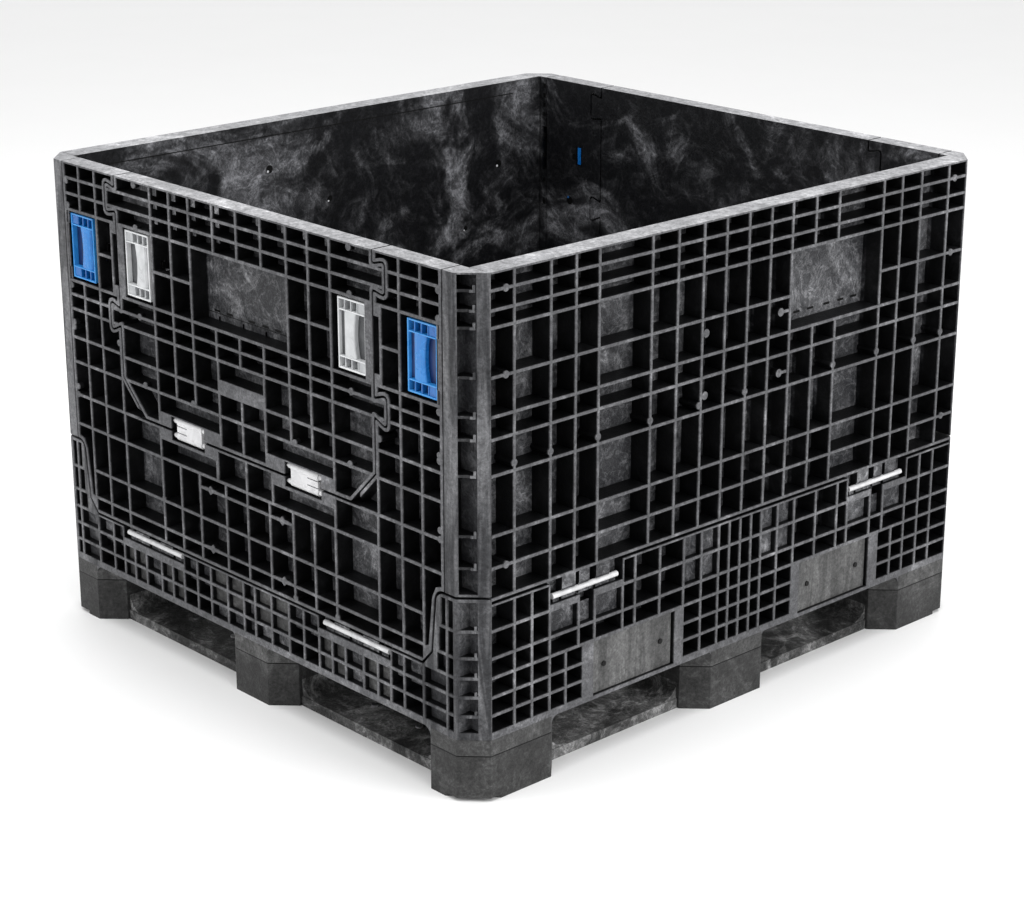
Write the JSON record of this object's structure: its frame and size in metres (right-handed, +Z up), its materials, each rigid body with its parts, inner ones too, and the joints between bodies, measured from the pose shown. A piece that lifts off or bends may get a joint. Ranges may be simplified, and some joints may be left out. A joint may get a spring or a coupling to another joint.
{
  "type": "collapsible pallet container",
  "caption": "Folding-wall bulk container on a four-way pallet base, with a drop door in each end wall and sliding latches.",
  "frame": {"origin": "on the floor, under the middle of the container", "axes": "+Z up, +Y along the plain walls' length, so the drop-door walls face -Y (front) and +Y (back) and the plain walls face -X and +X"},
  "size_m": [1.143, 1.2192, 0.864],
  "materials": {
    "black_plastic": "structural-foam polyethylene with marbled grey swirls, lighter on rims and rib edges",
    "blue_plastic": "smooth moulded blue plastic",
    "grey_plastic": "smooth moulded light grey plastic",
    "white_plastic": "smooth white plastic, slightly soiled",
    "screw_steel": "zinc plated screws"
  },
  "bodies": {
    "base": {"base_deck": "black_plastic", "base_front_rim": "black_plastic", "base_back_rim": "black_plastic", "base_left_rim": "black_plastic", "base_right_rim": "black_plastic", "base_corner_front_left": "black_plastic", "base_corner_front_right": "black_plastic", "base_corner_back_left": "black_plastic", "base_corner_back_right": "black_plastic", "base_legs": "black_plastic", "foot_blocks": "black_plastic", "cross_boards": "black_plastic", "side_boards": "black_plastic", "board_screws": "screw_steel", "wear_plates_left": "black_plastic", "wear_plates_right": "black_plastic", "wear_plate_screws": "screw_steel", "front_hinge_rods": "white_plastic", "back_hinge_rods": "white_plastic", "left_hinge_rods": "white_plastic", "right_hinge_rods": "white_plastic", "left_wall": "black_plastic", "right_wall": "black_plastic", "post_front_left": "black_plastic", "post_front_right": "black_plastic", "post_back_left": "black_plastic", "post_back_right": "black_plastic"},
    "front_wall": {"front_wall_panel": "black_plastic", "front_wall_left_stile": "black_plastic", "front_wall_right_stile": "black_plastic"},
    "front_links": {"front_link_left": "white_plastic", "front_link_right": "white_plastic"},
    "front_door": {"front_door": "black_plastic"},
    "front_wall_latch_left": {"front_wall_latch_left": "blue_plastic"},
    "front_door_latch_left": {"front_door_latch_left": "grey_plastic"},
    "front_wall_latch_right": {"front_wall_latch_right": "blue_plastic"},
    "front_door_latch_right": {"front_door_latch_right": "grey_plastic"},
    "back_wall": {"back_wall_panel": "black_plastic", "back_wall_left_stile": "black_plastic", "back_wall_right_stile": "black_plastic"},
    "back_links": {"back_link_left": "white_plastic", "back_link_right": "white_plastic"},
    "back_door": {"back_door": "black_plastic"},
    "back_wall_latch_left": {"back_wall_latch_left": "blue_plastic"},
    "back_door_latch_left": {"back_door_latch_left": "grey_plastic"},
    "back_wall_latch_right": {"back_wall_latch_right": "blue_plastic"},
    "back_door_latch_right": {"back_door_latch_right": "grey_plastic"}
  },
  "joints": [
    {"name": "front_wall_fold", "type": "hinge", "parent": "base", "child": "front_wall", "pos_m": [0, -0.6026, 0.202], "axis": [-1, 0, 0], "range_deg": [0, 90]},
    {"name": "front_link_swing", "type": "hinge", "parent": "front_wall", "child": "front_links", "pos_m": [0, -0.6006, 0.427], "axis": [1, 0, 0], "range_deg": [0, 90]},
    {"name": "front_door_swing", "type": "hinge", "parent": "front_links", "child": "front_door", "pos_m": [0, -0.6006, 0.454], "axis": [1, 0, 0], "range_deg": [0, 90]},
    {"name": "front_wall_latch_left_slide", "type": "slide", "parent": "front_wall", "child": "front_wall_latch_left", "axis": [1, 0, 0], "range_m": [0, 0.0125]},
    {"name": "front_door_latch_left_slide", "type": "slide", "parent": "front_door", "child": "front_door_latch_left", "axis": [1, 0, 0], "range_m": [0, 0.011]},
    {"name": "front_wall_latch_right_slide", "type": "slide", "parent": "front_wall", "child": "front_wall_latch_right", "axis": [-1, 0, 0], "range_m": [0, 0.0125]},
    {"name": "front_door_latch_right_slide", "type": "slide", "parent": "front_door", "child": "front_door_latch_right", "axis": [-1, 0, 0], "range_m": [0, 0.011]},
    {"name": "back_wall_fold", "type": "hinge", "parent": "base", "child": "back_wall", "pos_m": [0, 0.6026, 0.202], "axis": [1, 0, 0], "range_deg": [0, 85.5]},
    {"name": "back_link_swing", "type": "hinge", "parent": "back_wall", "child": "back_links", "pos_m": [0, 0.6006, 0.427], "axis": [-1, 0, 0], "range_deg": [0, 90]},
    {"name": "back_door_swing", "type": "hinge", "parent": "back_links", "child": "back_door", "pos_m": [0, 0.6006, 0.454], "axis": [-1, 0, 0], "range_deg": [0, 90]},
    {"name": "back_wall_latch_left_slide", "type": "slide", "parent": "back_wall", "child": "back_wall_latch_left", "axis": [1, 0, 0], "range_m": [0, 0.0125]},
    {"name": "back_door_latch_left_slide", "type": "slide", "parent": "back_door", "child": "back_door_latch_left", "axis": [1, 0, 0], "range_m": [0, 0.011]},
    {"name": "back_wall_latch_right_slide", "type": "slide", "parent": "back_wall", "child": "back_wall_latch_right", "axis": [-1, 0, 0], "range_m": [0, 0.0125]},
    {"name": "back_door_latch_right_slide", "type": "slide", "parent": "back_door", "child": "back_door_latch_right", "axis": [-1, 0, 0], "range_m": [0, 0.011]}
  ]
}
